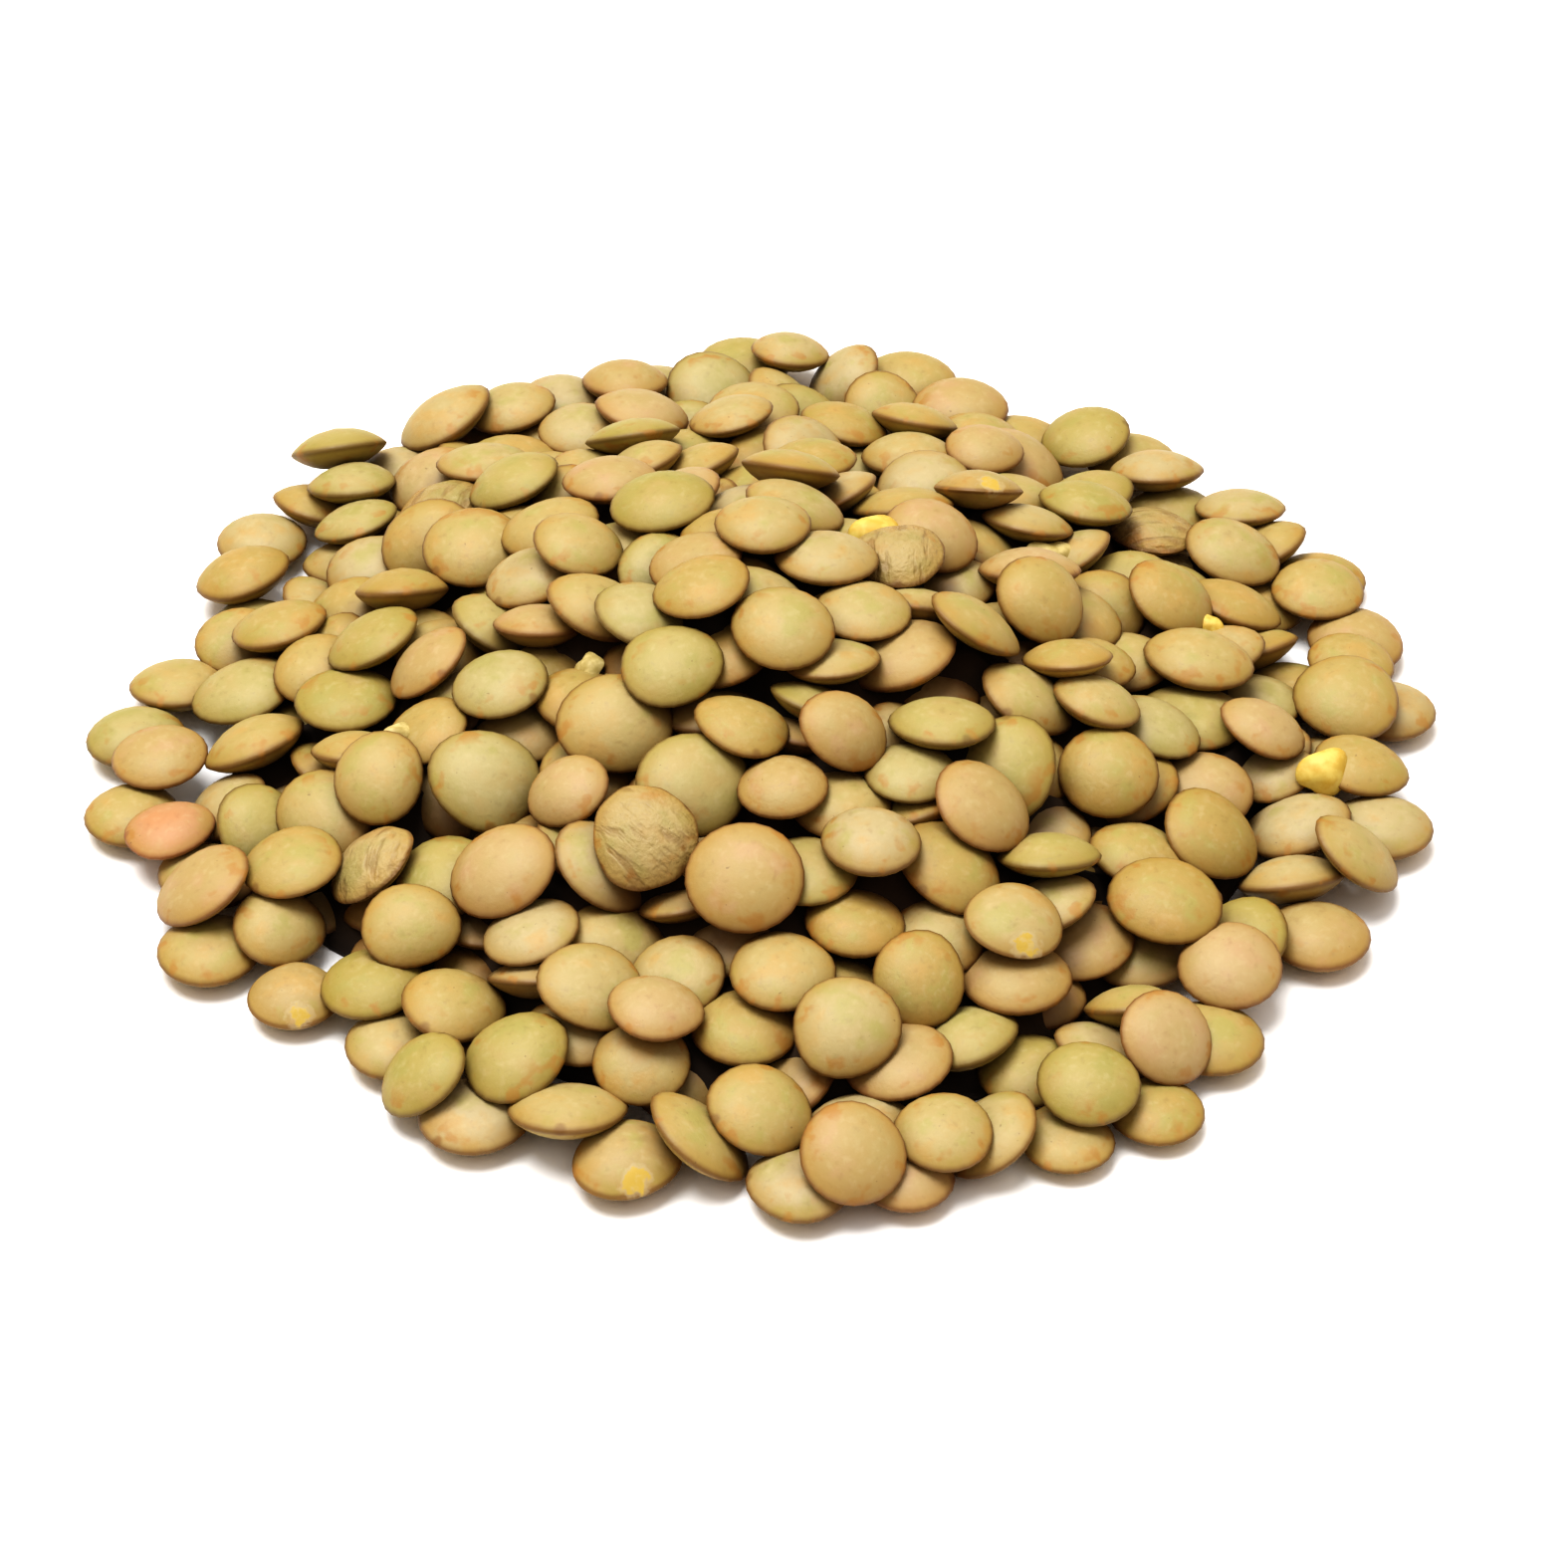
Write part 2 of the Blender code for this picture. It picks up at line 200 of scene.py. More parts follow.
@dataclass
class Relief:
    """The height of what is laid over a square of cells, and which lentil is on top."""

    form: HeapForm
    cell_size: float = 0.25 * MM
    extent: float = 52.0 * MM
    places_drawn: int = 4
    closed_near: int = 2  # cells round a place where nothing fits
    press: float = 0.18 * MM  # how far a lentil sinks into what is below it
    least_gain: float = press / 100
    roll_step: int = 2
    lean_step: float = 0.24
    finest_lean: float = 0.02
    steepest_lean: float = 0.75
    directions: tuple[tuple[int, int], ...] = ((1, 0), (-1, 0), (0, 1), (0, -1))
    no_gap: float = -1.0  # less than any gap, where the lentil has nothing over a cell

    def __post_init__(self) -> None:
        """Starts with a bare table."""
        self.middle = int(self.extent / self.cell_size)
        self.side = 2 * self.middle + 1
        self.height = np.zeros((self.side, self.side))
        self.owner = np.full((self.side, self.side), -1)
        ticks = (np.arange(self.side) - self.middle) * self.cell_size
        self.allowed = self.form.surface(*np.meshgrid(ticks, ticks))
        self.closed = np.zeros((self.side, self.side), bool)
        self.reach = int(LentilSize.largest / self.cell_size) + 1
        near = np.arange(-self.reach, self.reach + 1) * self.cell_size
        self.across, self.along = np.meshgrid(near, near)

    def window(self, column: int, row: int) -> tuple[slice, slice]:
        """Returns the cells that a lentil with its middle here may cover."""
        return (
            slice(row - self.reach, row + self.reach + 1),
            slice(column - self.reach, column + self.reach + 1),
        )

    def rest_height(self, lentil: Lentil, lean: Lean, column: int, row: int) -> float:
        """Finds the height of the lentil's middle when it touches what is below it.

        Args:
            lentil: the lentil.
            lean: the slope of its flat side.
            column: its middle's column.
            row: its middle's row.

        Returns:
            The height.
        """
        lower, _, covered = lentil.surfaces(lean, self.across, self.along)
        gap = np.where(covered, self.height[self.window(column, row)] - lower, self.no_gap)
        return float(gap.max())

    def settle(
        self, lentil: Lentil, column: int, row: int, room: float
    ) -> tuple[float, Lean, int, int]:
        """Rolls and leans the lentil until its middle is as low as it gets.

        Args:
            lentil: the lentil.
            column: the cell's column where it is set down.
            row: the cell's row.
            room: how many cells it may roll.

        Returns:
            Its middle's height, its lean, and its middle's column and row.
        """
        start = (column, row)
        best = (self.rest_height(lentil, (0.0, 0.0), column, row), (0.0, 0.0), column, row)
        step = self.lean_step
        roll = self.roll_step
        while step > self.finest_lean:
            tries = []
            _, lean, column, row = best
            for side, up in self.directions:
                leant = (lean[0] + side * step, lean[1] + up * step)
                if math.hypot(*leant) < self.steepest_lean:
                    tries.append((leant, column, row))
                moved = (column + side * roll, row + up * roll)
                if math.dist(moved, start) <= room:
                    tries.append((lean, *moved))
            found = min((self.rest_height(lentil, *one), *one) for one in tries)
            if found[0] < best[0] - self.least_gain:
                best = found
            else:
                step /= 2
                roll = 1
        return best

    def lay(self, lentil: Lentil, column: int, row: int, number: int, room: float) -> bool:
        """Sets a lentil down near a cell. If it is low enough, it raises the relief.

        Args:
            lentil: the lentil.
            column: the cell's column where it is set down.
            row: the cell's row.
            number: its number in the heap.
            room: how many cells it may roll.

        Returns:
            Whether its middle is low enough there. If it isn't, the place is closed.
        """
        start = (column, row)
        rest, lean, column, row = self.settle(lentil, column, row, room)
        lower, upper, covered = lentil.surfaces(lean, self.across, self.along)
        height = max(rest - self.press, -float(lower[covered].min()))
        if height > self.allowed[row, column]:
            closed_rows = slice(start[1] - self.closed_near, start[1] + self.closed_near + 1)
            closed_columns = slice(start[0] - self.closed_near, start[0] + self.closed_near + 1)
            self.closed[closed_rows, closed_columns] = True
            return False
        window = self.window(column, row)
        raised = covered & (height + upper > self.height[window])
        self.height[window][raised] = (height + upper)[raised]
        self.owner[window][raised] = number
        lentil.lean = lean
        lentil.place = Vector(
            ((column - self.middle) * self.cell_size, (row - self.middle) * self.cell_size, height)
        )
        return True

    def cell(self, x: float, y: float) -> tuple[int, int]:
        """Returns the column and row of a place."""
        return self.middle + round(x / self.cell_size), self.middle + round(y / self.cell_size)

    def lowest_place(
        self, draw: np.random.Generator, least_room: float
    ) -> tuple[int, int] | None:
        """Finds a low place for a lentil.

        Args:
            draw: the source of the few places that are drawn.
            least_room: from what is below to where the lentil's middle may be.

        Returns:
            The column and row of the lowest place with that room, or None.
        """
        angles = draw.uniform(-math.pi, math.pi, self.places_drawn)
        shares = np.sqrt(draw.uniform(0, 1, self.places_drawn))
        distances = shares * self.form.outer_reach(angles)
        columns = self.middle + np.rint(distances * np.cos(angles) / self.cell_size).astype(int)
        rows = self.middle + np.rint(distances * np.sin(angles) / self.cell_size).astype(int)
        height = self.height[rows, columns]
        full = self.allowed[rows, columns] - height < least_room
        height[full | self.closed[rows, columns]] = math.inf
        lowest = int(height.argmin())
        return (columns[lowest], rows[lowest]) if height[lowest] < math.inf else None

    def level(self, x: float, y: float, near: float, percent: float) -> float:
        """Finds how high the heap is round a place.

        Args:
            x: the place across.
            y: the place along.
            near: how far round it is looked at.
            percent: how much of what is there is lower than the answer.

        Returns:
            The height.
        """
        column, row = self.cell(x, y)
        cells = round(near / self.cell_size)
        rows = slice(row - cells, row + cells + 1)
        columns = slice(column - cells, column + cells + 1)
        return float(np.percentile(self.height[rows, columns], percent))


@dataclass(frozen=True)
class Accent:
    """A lentil that stands out, by where it lies on the heap in mm."""

    kind: Kind
    x: float
    y: float


ACCENTS = (
    Accent(Kind.ORANGE, -36.4, -9.6),
    Accent(Kind.PINK, 12.5, -34.0),
    Accent(Kind.PINK, -7.0, 37.0),
    Accent(Kind.PINK, 14.0, -18.0),
    Accent(Kind.PINK, 30.0, -5.5),
    Accent(Kind.CHIPPED, 14.5, -26.5),
    Accent(Kind.CHIPPED, -28.5, -25.5),
    Accent(Kind.CHIPPED, -7.0, -40.0),
    Accent(Kind.CHIPPED, 14.0, 14.0),
    Accent(Kind.WRINKLED, -8.0, -19.5),
    Accent(Kind.WRINKLED, -23.0, -21.0),
    Accent(Kind.WRINKLED, -19.0, 17.0),
    Accent(Kind.GREEN, -16.0, -12.0),
    Accent(Kind.GREEN, 8.0, -17.0),
    Accent(Kind.GREEN, -16.0, 14.0),
    Accent(Kind.GREEN, 18.5, -32.5),
    Accent(Kind.GREEN, -13.0, -34.0),
    Accent(Kind.GREEN, -19.5, -15.5),
)


@dataclass
class Heap:
    """The lentils in the order in which they are laid, and their relief."""

    form: HeapForm = field(default_factory=HeapForm)
    seed: int = 11
    look_seed: int = 5
    most_lentils: int = 700
    most_misses: int = 40
    roll: int = 5
    least_room: float = 1.1 * MM
    hollow_room: float = 2.8 * MM
    cover_height: float = 1.1 * MM
    least_shown: float = 0.004
    topmost_shown: float = 0.5
    # How far a point lies under the heap's top, which sets the coat's painted shade
    depth_near: float = 1.5 * MM
    depth_percent: float = 75.0
    lit_depth: float = 0.5 * MM
    dark_depth: float = 4.0 * MM
    shares: tuple[tuple[Kind, float], ...] = (
        (Kind.TAN, 0.72),
        (Kind.GREEN, 0.14),
        (Kind.PINK, 0.13),
        (Kind.WRINKLED, 0.01),
    )
    lentils: list[Lentil] = field(default_factory=list)

    def __post_init__(self) -> None:
        """Lays the rim and then the rest, and finds what shows."""
        self.draw = np.random.default_rng(self.seed)
        self.relief = Relief(self.form)
        self.lay_rim()
        self.fill(self.least_room)
        self.cover_hollows()
        self.measure_shown()
        self.sort()
        self.centre()

    def lay(self, column: int, row: int, room: float) -> None:
        """Lays a new lentil at a cell, if it comes to rest low enough there.

        Args:
            column: the cell's column.
            row: the cell's row.
            room: how many cells it may roll.
        """
        lentil = Lentil(self.draw)
        if self.relief.lay(lentil, column, row, len(self.lentils), room):
            self.lentils.append(lentil)

    def lay_apart(self, angle: float, distance: float) -> None:
        """Lays a lentil in a direction and at a distance from the middle."""
        self.lay(*self.relief.cell(distance * math.cos(angle), distance * math.sin(angle)), 0)

    def lay_rim(self) -> None:
        """Lays the outliers, and then a loose ring of lentils round the foot."""
        taken = [math.radians(degrees) for degrees, _ in self.form.outliers]
        for angle, (_, past) in zip(taken, self.form.outliers):
            self.lay_apart(angle, self.form.outer_reach(angle) + past * MM)
        angle = 0.0
        while angle < 2 * math.pi:
            distance = self.form.outer_reach(angle) - self.draw.uniform(0, self.form.rim_depth)
            step = 2 * LentilSize.radius * self.form.rim_spacing / distance
            if min(abs(angle - other) for other in taken) > step / 2:
                self.lay_apart(angle, distance)
            angle += step

    def fill(self, least_room: float) -> None:
        """Lays lentils with their middles up to the surface, until no place is found.

        Args:
            least_room: from what is below to where a lentil's middle may be.
        """
        misses = 0
        while misses < self.most_misses and len(self.lentils) < self.most_lentils:
            place = self.relief.lowest_place(self.draw, least_room)
            misses = misses + 1 if place is None else 0
            if place is not None:
                self.lay(*place, self.roll)

    def cover_hollows(self) -> None:
        """Lays lentils over the hollows that are left, resting on those round them."""
        self.relief.allowed += self.cover_height
        self.relief.closed[:] = False
        self.fill(self.hollow_room)

    def measure_shown(self) -> None:
        """Finds the share of each lentil that is seen from above."""
        owner = self.relief.owner
        seen = np.bincount(owner[owner >= 0], minlength=len(self.lentils))
        for lentil, cells in zip(self.lentils, seen):
            lentil.shown = cells * Relief.cell_size**2 / (math.pi * lentil.radius**2)

    def sort(self) -> None:
        """Gives every lentil its kind and its tone."""
        draw = np.random.default_rng(self.look_seed)
        kinds = [kind for kind, _ in self.shares]
        weights = [weight for _, weight in self.shares]
        for lentil in self.lentils:
            lentil.kind = kinds[draw.choice(len(kinds), p=weights)]
            lentil.tone = draw.uniform(0, 1)
        topmost = [lentil for lentil in self.lentils if lentil.shown > self.topmost_shown]
        for accent in ACCENTS:
            spot = Vector((accent.x * MM, accent.y * MM))
            nearest = min(topmost, key=lambda lentil: (lentil.place.xy - spot).length)
            nearest.kind = accent.kind

    def centre(self) -> None:
        """Moves the heap so that the middle of its foot's box is over the origin."""
        rows, columns = np.nonzero(self.relief.owner >= 0)
        middle = Vector(((columns.min() + columns.max()) / 2, (rows.min() + rows.max()) / 2, 0))
        self.shift = Vector((self.relief.middle, self.relief.middle, 0)) - middle
        self.shift *= Relief.cell_size
        for lentil in self.lentils:
            lentil.place += self.shift

    def painted_shade_at(self, point: Vector) -> float:
        """Finds how much painted shade a point gets, by how far it lies under the heap's top.

        Args:
            point: the point.

        Returns:
            0 at the heap's top surface, and 1 where the painted shade is full.
        """
        laid = point - self.shift
        above = self.relief.level(laid.x, laid.y, self.depth_near, self.depth_percent) - point.z
        return min(1.0, max(0.0, (above - self.lit_depth) / (self.dark_depth - self.lit_depth)))

    def of_kind(self, kind: Kind) -> list[Lentil]:
        """Returns the lentils of a kind of which something shows."""
        return [one for one in self.lentils if one.kind is kind and one.shown > self.least_shown]


# Shader nodes


class Signal:
    """A node's output. An expression on signals and numbers adds Math nodes."""

    def __init__(self, tree: "Tree", socket: bpy.types.NodeSocket) -> None:
        """Wraps a socket of a tree."""
        self.tree = tree
        self.socket = socket

    def math(self, operation: str, *values: "Signal | float") -> "Signal":
        """Adds a Math node.

        Args:
            operation: what it does.
            values: its values and signals.

        Returns:
            Its outcome.
        """
        sockets = dict(enumerate(values))
        made = self.tree.node("ShaderNodeMath", {"operation": operation}, sockets)
        return Signal(self.tree, made.outputs[0])

    def __add__(self, other: "Signal | float") -> "Signal":
        """Adds."""
        return self.math("ADD", self, other)

    def __sub__(self, other: "Signal | float") -> "Signal":
        """Takes away."""
        return self.math("SUBTRACT", self, other)

    def __rsub__(self, other: float) -> "Signal":
        """Takes this away from a number."""
        return self.math("SUBTRACT", other, self)

    def __mul__(self, other: "Signal | float") -> "Signal":
        """Multiplies."""
        return self.math("MULTIPLY", self, other)

    __radd__ = __add__
    __rmul__ = __mul__

    def fraction(self) -> "Signal":
        """Returns what is behind the point."""
        return self.math("FRACT", self)

    def between(self, low: float, high: float) -> "Signal":
        """Adds a smooth rise from 0 to 1, or a fall where the first place is the higher.

        Args:
            low: where the outcome is 0.
            high: where it is 1.

        Returns:
            The outcome.
        """
        sockets = dict(enumerate((self, min(low, high), max(low, high), 0.0, 1.0)))
        made = self.tree.node("ShaderNodeMapRange", {"interpolation_type": "SMOOTHSTEP"}, sockets)
        risen = Signal(self.tree, made.outputs[0])
        return risen if low < high else 1 - risen


class Pattern(Enum):
    """The noises of a coat: what sets each apart from the others, its scale and its detail."""

    CLOUDS = (0.0, 1.6, 3.0)
    MOTTLE = (3.0, 6.0, 4.0)
    CREASES = (5.0, 2.0, 2.0)
    RUST = (13.0, 2.4, 2.0)
    SPECKS = (21.0, 11.0, 1.0)
    GRAIN = (33.0, 11.0, 4.0)
    TORN = (0.0, 2.4, 4.0)


class Tree:
    """The nodes of a material or a world, round its shader."""

    mix_sockets = (0, 6, 7)  # of a Mix node on colours: the factor and the two colours
    mix_result = 2
    bump_strength = 0.5

    def __init__(self, owner: bpy.types.Material | bpy.types.World, shader: str) -> None:
        """Turns the owner's nodes on.

        Args:
            owner: the material or the world.
            shader: the name of its shader.
        """
        owner.use_nodes = True
        self.owner = owner
        self.nodes = owner.node_tree.nodes
        self.links = owner.node_tree.links
        self.shader = self.nodes[shader]

    @classmethod
    def of_material(cls, name: str) -> "Tree":
        """Returns the tree of a new material."""
        return cls(bpy.data.materials.new(name), "Principled BSDF")

    def feed(self, socket: bpy.types.NodeSocket, value: object) -> None:
        """Links a signal to a socket, or sets the socket to a value.

        Args:
            socket: the socket.
            value: the signal or the value.
        """
        if isinstance(value, Signal):
            self.links.new(value.socket, socket)
        else:
            socket.default_value = value

    def shade(self, sockets: dict[str, object]) -> None:
        """Feeds the shader.

        Args:
            sockets: values or signals for its inputs, by name.
        """
        for name, value in sockets.items():
            self.feed(self.shader.inputs[name], value)

    def node(
        self,
        kind: str,
        settings: dict[str, object] | None = None,
        sockets: dict[str | int, object] | None = None,
    ) -> bpy.types.ShaderNode:
        """Adds a node.

        Args:
            kind: the node's type.
            settings: its own settings. The stops of a ramp are places and colours.
            sockets: values or signals for its inputs, by name or number.

        Returns:
            The node.
        """
        made = self.nodes.new(kind)
        for name, value in (settings or {}).items():
            if name == "stops":
                self.set_stops(made.color_ramp, value)
            else:
                setattr(made, name, value)
        for name, value in (sockets or {}).items():
            self.feed(made.inputs[name], value)
        return made

    def set_stops(self, ramp: bpy.types.ColorRamp, stops: Stops) -> None:
        """Sets a ramp's stops.

        Args:
            ramp: the ramp.
            stops: places and colours.
        """
        while len(ramp.elements) < len(stops):
            ramp.elements.new(1.0)
        for element, (place, colour) in zip(ramp.elements, stops):
            element.position = place
            element.color = colour

    def attribute(self, name: str, output: str) -> Signal:
        """Returns an attribute of the mesh."""
        made = self.node("ShaderNodeAttribute", {"attribute_name": name})
        return Signal(self, made.outputs[output])

    def ramp(self, factor: Signal, stops: Stops) -> Signal:
        """Returns a colour from a ramp."""
        made = self.node("ShaderNodeValToRGB", {"stops": stops}, {0: factor})
        return Signal(self, made.outputs[0])

    def mix(
        self, factor: "Signal | float", first: object, second: object, blend: str = "MIX"
    ) -> Signal:
        """Adds a Mix node on colours.

        Args:
            factor: how much of the second colour there is.
            first: the first colour.
            second: the second colour.
            blend: how the second is laid over the first.

        Returns:
            The colour.
        """
        settings = {"data_type": "RGBA", "blend_type": blend}
        sockets = dict(zip(self.mix_sockets, (factor, first, second)))
        made = self.node("ShaderNodeMix", settings, sockets)
        return Signal(self, made.outputs[self.mix_result])

    def noise(self, place: Signal, change: Signal, pattern: Pattern) -> Signal:
        """Adds a noise that differs from lentil to lentil.

        Args:
            place: where it is looked up.
            change: what makes one lentil's noise differ from the next one's.
            pattern: which noise it is.

        Returns:
            The noise, between 0 and 1.
        """
        apart, scale, detail = pattern.value
        sockets = {"Vector": place, "W": change + apart, "Scale": scale, "Detail": detail}
        made = self.node("ShaderNodeTexNoise", {"noise_dimensions": "4D"}, sockets)
        return Signal(self, made.outputs[0])

    def bump(self, height: Signal, distance: float) -> Signal:
        """Adds a Bump node.

        Args:
            height: the relief, between 0 and 1.
            distance: how high 1 is.

        Returns:
            The normals.
        """
        sockets = {"Strength": self.bump_strength, "Distance": distance, "Height": height}
        return Signal(self, self.node("ShaderNodeBump", None, sockets).outputs[0])

    def vector_math(self, operation: str, *vectors: object, output: int = 0) -> Signal:
        """Adds a Vector Math node.

        Args:
            operation: what it does.
            vectors: its vectors and signals.
            output: 0 where the outcome is a vector, and 1 where it is a number.

        Returns:
            Its outcome.
        """
        settings = {"operation": operation}
        made = self.node("ShaderNodeVectorMath", settings, dict(enumerate(vectors)))
        return Signal(self, made.outputs[output])


# The finishes

NOISE_APART = 61.0  # from the noise of a lentil with tone 0 to that of one with tone 1
NOISE_MIDDLE = 0.5


@dataclass(frozen=True)
class Chip:
    """A place where the coat is torn off and bares the seed, in lentil radii."""

    colour: Colour = (0.50, 0.355, 0.07, 1)
    middle: tuple[float, float, float] = (-0.52, -0.62, 0.19)
    side: tuple[float, float, float] = (0.25, -1.0, 0.0)  # of the heap, towards which it lies
    reach: float = 0.25
    uneven: float = 0.45
    pale_edge: float = 0.10
    pale_strength: float = 0.35
    torn_edge: float = 0.06
    cloud_span: Span = (0.48, 0.66)
    cloud_strength: float = 0.35
    smoother: float = 0.15


CHIP = Chip()


@dataclass(frozen=True)
class SeedCoat:
    """A lentil's dry coat: mottled, browner at the rim (partly painted shade), with painted shade low in
    the heap.

    A span is where a mark starts and where it is full, on its noise or on the way out from the
    lentil's middle, at 0, to its rim, at 1.
    """

    name: str
    tones: Stops
    warm: Colour = (0.435, 0.284, 0.092, 1)
    cool: Colour = (0.340, 0.306, 0.092, 1)
    # edge and rim brown the rim, partly as painted shade where the lens turns from the light; rim also
    # paints the shade in creases
    edge: Colour = (0.34, 0.205, 0.032, 1)
    rim: Colour = (0.15, 0.062, 0.012, 1)
    painted_shade_colour: Colour = (0.28, 0.11, 0.014, 1)
    rust: Colour = (0.36, 0.17, 0.028, 1)
    speck: Colour = (0.108, 0.05, 0.017, 1)
    pale: Colour = (0.54, 0.458, 0.277, 1)
    warm_span: Span = (0.50, 0.70)
    cool_span: Span = (0.50, 0.32)
    cloud_strength: float = 0.65
    pale_span: Span = (0.50, 0.72)
    pale_strength: float = 0.20
    dim_span: Span = (0.45, 0.26)
    dim_strength: float = 0.16
    edge_span: Span = (0.58, 1.02)
    edge_strength: float = 0.5
    edge_uneven: float = 0.20
    rim_span: Span = (0.93, 0.985)
    rim_strength: float = 0.7
    rim_uneven: float = 0.1  # as a share of the edge's
    rust_span: Span = (0.56, 0.68)
    rust_reach: Span = (0.45, 0.9)
    rust_strength: float = 0.6
    speck_span: Span = (0.75, 0.80)
    speck_strength: float = 0.4
    scar_place: tuple[float, float, float] = (0.97, 0.0, 0.04)
    scar_span: Span = (0.15, 0.05)
    scar_strength: float = 0.5
    scar_draws: float = 7.0  # makes another number between 0 and 1 out of the tone
    scarred: Span = (0.78, 0.80)
    painted_shade_strength: float = 0.72
    roughness: float = 0.55
    roughness_spread: float = 0.3
    specular: float = 0.45
    bump: float = 0.05 * MM
    creases: float = 0.0
    crease_span: Span = (0.50, 0.68)
    crease_stretch: tuple[float, float, float] = (0.7, 2.6, 1.2)
    crease_shade_strength: float = 0.35
    chip: Chip | None = None

    def material(self) -> bpy.types.Material:
        """Makes the material.

        Returns:
            The material.
        """
        tree = Tree.of_material(self.name)
        own = tree.attribute("own", "Vector")
        tone = tree.attribute("tone", "Fac")
        depth = tree.attribute("depth", "Fac")
        change = tone * NOISE_APART
        mottle = tree.noise(own, change, Pattern.MOTTLE)
        colour = self.mottled(tree, own, change, mottle, tree.ramp(tone, self.tones))
        colour = self.marked(tree, own, change, tone, mottle, colour)
        rough = self.roughness + (mottle - NOISE_MIDDLE) * self.roughness_spread
        height = tree.noise(own, change, Pattern.GRAIN)
        if self.creases:
            creases = self.creased(tree, own, change)
            # Painted shade: the coat is darkened in the creases.
            colour = tree.mix(creases * self.crease_shade_strength, colour, self.rim)
            height = height - creases * self.creases
        if self.chip:
            colour, rough = self.chipped(tree, own, mottle, colour, rough)
        # Painted shade: the coat is darkened and browned where it lies low in the heap, under other
        # lentils.
        colour = tree.mix(depth * self.painted_shade_strength, colour, self.painted_shade_colour, "MULTIPLY")
        tree.shade(
            {
                "Base Color": colour,
                "Roughness": rough,
                "Specular IOR Level": self.specular,
                "Normal": tree.bump(height, self.bump),
            }
        )
        return tree.owner

    def creased(self, tree: Tree, own: Signal, change: Signal) -> Signal:
        """Returns 1 in the soft creases of a shrivelled coat, and 0 between them."""
        long_ways = tree.vector_math("MULTIPLY", own, self.crease_stretch)
        return tree.noise(long_ways, change, Pattern.CREASES).between(*self.crease_span)

    def mottled(
        self, tree: Tree, own: Signal, change: Signal, mottle: Signal, colour: Signal
    ) -> Signal:
        """Clouds the coat with warmer, cooler and paler patches.

        Args:
            tree: the material's tree.
            own: the place on the lentil.
            change: what makes one lentil's noise differ from the next one's.
            mottle: a fine noise.
            colour: the plain coat.

        Returns:
            The colour.
        """
        clouds = tree.noise(own, change, Pattern.CLOUDS)
        colour = tree.mix(clouds.between(*self.warm_span) * self.cloud_strength, colour, self.warm)
        colour = tree.mix(clouds.between(*self.cool_span) * self.cloud_strength, colour, self.cool)
        colour = tree.mix(mottle.between(*self.pale_span) * self.pale_strength, colour, self.pale)
        return tree.mix(mottle.between(*self.dim_span) * self.dim_strength, colour, self.rim)

    def marked(
        self, tree: Tree, own: Signal, change: Signal, tone: Signal, mottle: Signal, colour: Signal
    ) -> Signal:
        """Browns the rim, partly as painted shade where it turns from the light, and adds a few specks
        and, on some, the seed's scar.

        Args:
            tree: the material's tree.
            own: the place on the lentil.
            change: what makes one lentil's noise differ from the next one's.
            tone: the lentil's own number between 0 and 1.
            mottle: a fine noise.
            colour: the coat's colour.

        Returns:
            The colour.
        """
        out = tree.attribute("out", "Fac")
        uneven = (mottle - NOISE_MIDDLE) * self.edge_uneven
        # Painted shade over the coat's own warmer edge: the coat turns golden brown towards the rim,
        # where the lens curves away from the light.
        edge = (out + uneven).between(*self.edge_span)
        colour = tree.mix(edge * self.edge_strength, colour, self.edge)
        # Painted shade over the coat's own dark rim line: a thin dark brown line along the rim, where
        # its underside turns from the light.
        rim = (out + uneven * self.rim_uneven).between(*self.rim_span)
        colour = tree.mix(rim * self.rim_strength, colour, self.rim)
        rust = tree.noise(own, change, Pattern.RUST).between(*self.rust_span)
        rust = rust * out.between(*self.rust_reach)
        colour = tree.mix(rust * self.rust_strength, colour, self.rust)
        specks = tree.noise(own, change, Pattern.SPECKS).between(*self.speck_span)
        colour = tree.mix(specks * self.speck_strength, colour, self.speck)
        away = tree.vector_math("DISTANCE", own, self.scar_place, output=1)
        some = (tone * self.scar_draws).fraction().between(*self.scarred)
        scar = away.between(*self.scar_span) * some
        return tree.mix(scar * self.scar_strength, colour, self.rim)

    def chipped(
        self, tree: Tree, own: Signal, mottle: Signal, colour: Signal, rough: Signal
    ) -> tuple[Signal, Signal]:
        """Bares the yellow seed on one side, where the coat is torn off.

        Args:
            tree: the material's tree.
            own: the place on the lentil.
            mottle: a fine noise, which tears the edge.
            colour: the coat's colour.
            rough: the coat's roughness.

        Returns:
            The colour and the roughness of both.
        """
        chip = self.chip
        away = tree.vector_math("DISTANCE", own, chip.middle, output=1)
        away = away + (mottle - NOISE_MIDDLE) * chip.uneven
        pale = away.between(chip.reach + chip.pale_edge, chip.reach)
        colour = tree.mix(pale * chip.pale_strength, colour, self.pale)
        torn = away.between(chip.reach, chip.reach - chip.torn_edge)
        clouds = mottle.between(*chip.cloud_span)
        bared = tree.mix(clouds * chip.cloud_strength, chip.colour, self.pale)
        return tree.mix(torn, colour, bared), rough - torn * chip.smoother


